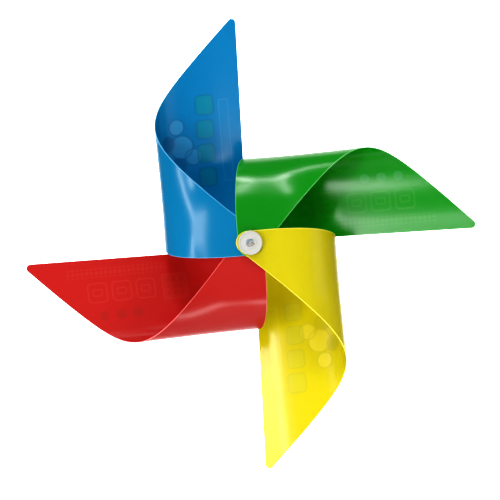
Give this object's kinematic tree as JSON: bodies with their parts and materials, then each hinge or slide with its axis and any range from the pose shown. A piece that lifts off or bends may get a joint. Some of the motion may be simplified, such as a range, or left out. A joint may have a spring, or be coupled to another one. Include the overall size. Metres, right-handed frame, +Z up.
{
  "type": "pinwheel head",
  "caption": "Curled-sheet pinwheel head in blue, green, yellow and red on a white clamped hub that spins freely on a grey snap-in axle peg.",
  "frame": {"origin": "centre of the axle peg's shoulder, on the face that meets the stick", "axes": "-Y along the axle towards the front ring, +Z up along the blue sail, +X to the right seen from the front"},
  "size_m": [0.2285, 0.0573, 0.2288],
  "materials": {
    "sheet_blue": "satin",
    "sheet_green": "satin",
    "sheet_yellow": "satin",
    "sheet_red": "satin",
    "hub_white": "satin",
    "peg_grey": "satin"
  },
  "bodies": {
    "root": {"axle_peg": "peg_grey"},
    "rotor": {"blade_blue": "sheet_blue", "blade_green": "sheet_green", "blade_yellow": "sheet_yellow", "blade_red": "sheet_red", "front_ring": "hub_white", "hub_tube": "hub_white", "rear_bush": "hub_white"}
  },
  "joints": [
    {"name": "spin", "type": "hinge", "parent": "root", "child": "rotor", "pos_m": [0, -0.004, 0], "axis": [0, -1, 0], "continuous": true}
  ]
}
